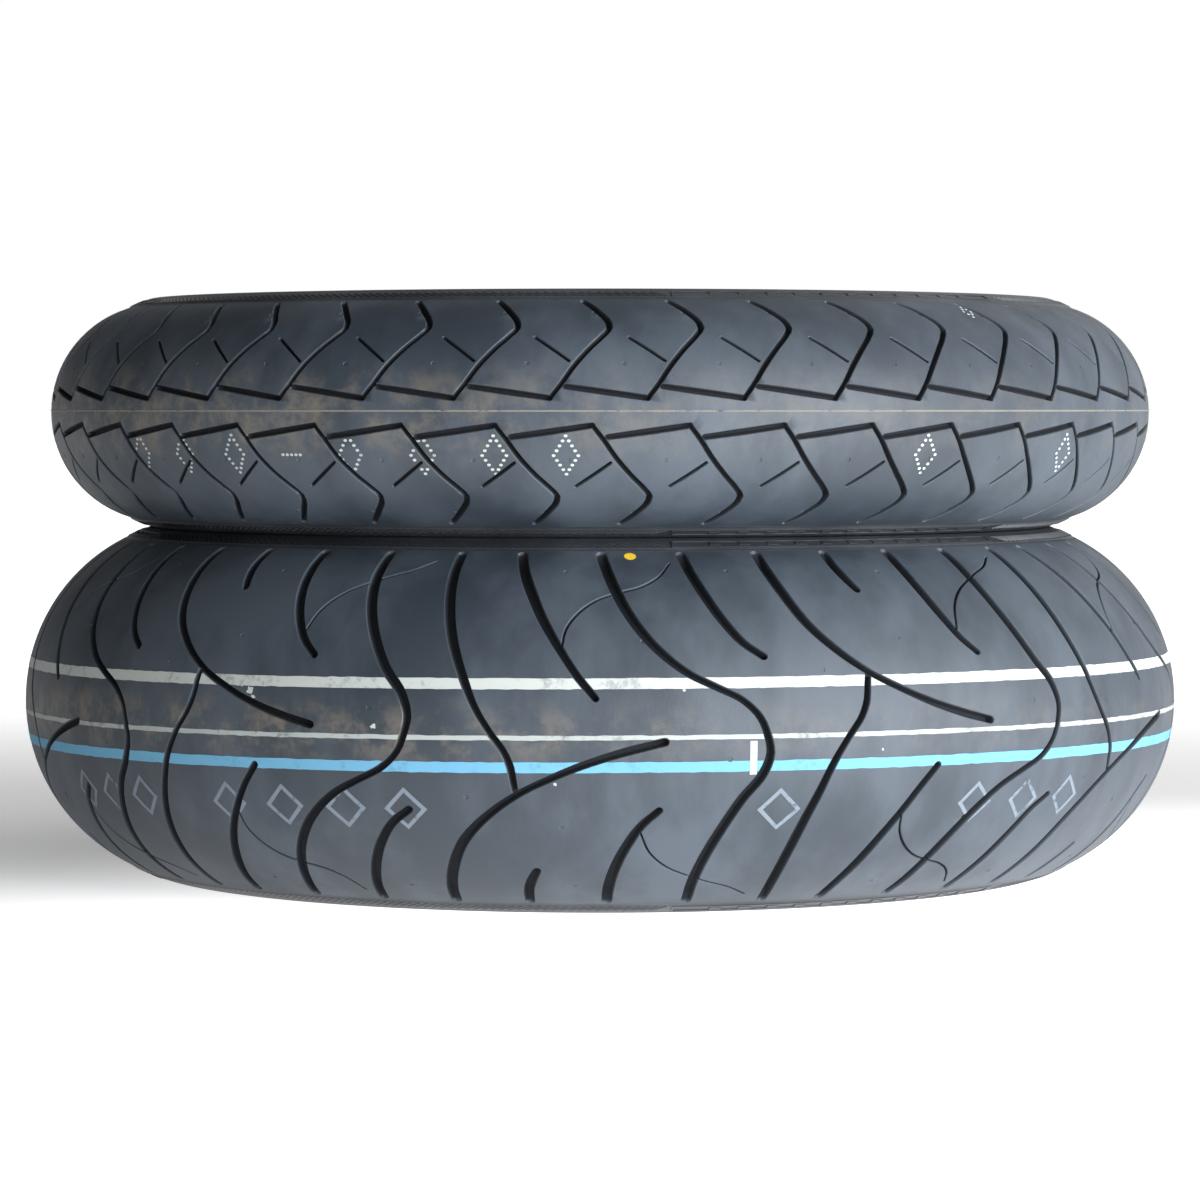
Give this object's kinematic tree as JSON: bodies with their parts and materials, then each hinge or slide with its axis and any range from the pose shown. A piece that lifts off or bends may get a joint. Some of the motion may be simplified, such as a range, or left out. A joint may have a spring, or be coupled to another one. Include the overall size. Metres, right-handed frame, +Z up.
{
  "type": "motorcycle tire pair",
  "caption": "Wide rear and narrow front radial motorcycle tires lying flat, one resting on the other, each a nest of tread, belt, ply, liner, bead and sidewall rings round an open wheel hole.",
  "frame": {"origin": "centre of the face that the rear tire lies on, on the wheel axis", "axes": "+Z up along the wheel axis that both tires share, from the rear tire to the front tire; +X and +Y lie in the plane of the tires and are interchangeable"},
  "size_m": [0.629, 0.629, 0.3109],
  "materials": {
    "tread_rubber": "satin blue-grey rubber, cut with grooves, painted lines",
    "base_rubber": "matt black rubber",
    "belt_cord": "spiral steel cord under a thin coat of rubber",
    "ply_cord": "ribbed textile cord under rubber",
    "liner_rubber": "smooth dark rubber",
    "sidewall_rubber": "satin moulded rubber",
    "rim_strip_rubber": "smooth hard rubber",
    "filler_rubber": "matt hard rubber",
    "bead_wire": "bronze-plated steel wire"
  },
  "bodies": {
    "rear_tire": {"rear_tread": "tread_rubber", "rear_tread_base": "base_rubber", "rear_spiral_belt": "belt_cord", "rear_carcass_ply": "ply_cord", "rear_inner_liner": "liner_rubber", "rear_sidewall_upper": "sidewall_rubber", "rear_sidewall_lower": "sidewall_rubber", "rear_rim_strip_upper": "rim_strip_rubber", "rear_rim_strip_lower": "rim_strip_rubber", "rear_bead_filler_upper": "filler_rubber", "rear_bead_filler_lower": "filler_rubber", "rear_bead_core_upper": "bead_wire", "rear_bead_core_lower": "bead_wire"},
    "front_tire": {"front_tread": "tread_rubber", "front_tread_base": "base_rubber", "front_spiral_belt": "belt_cord", "front_carcass_ply": "ply_cord", "front_inner_liner": "liner_rubber", "front_sidewall_upper": "sidewall_rubber", "front_sidewall_lower": "sidewall_rubber", "front_rim_strip_upper": "rim_strip_rubber", "front_rim_strip_lower": "rim_strip_rubber", "front_bead_filler_upper": "filler_rubber", "front_bead_filler_lower": "filler_rubber", "front_bead_core_upper": "bead_wire", "front_bead_core_lower": "bead_wire"}
  },
  "joints": [
    {"name": "front_tire_lift", "type": "slide", "parent": "rear_tire", "child": "front_tire", "axis": [0, 0, 1], "range_m": [0, 0.15]}
  ]
}
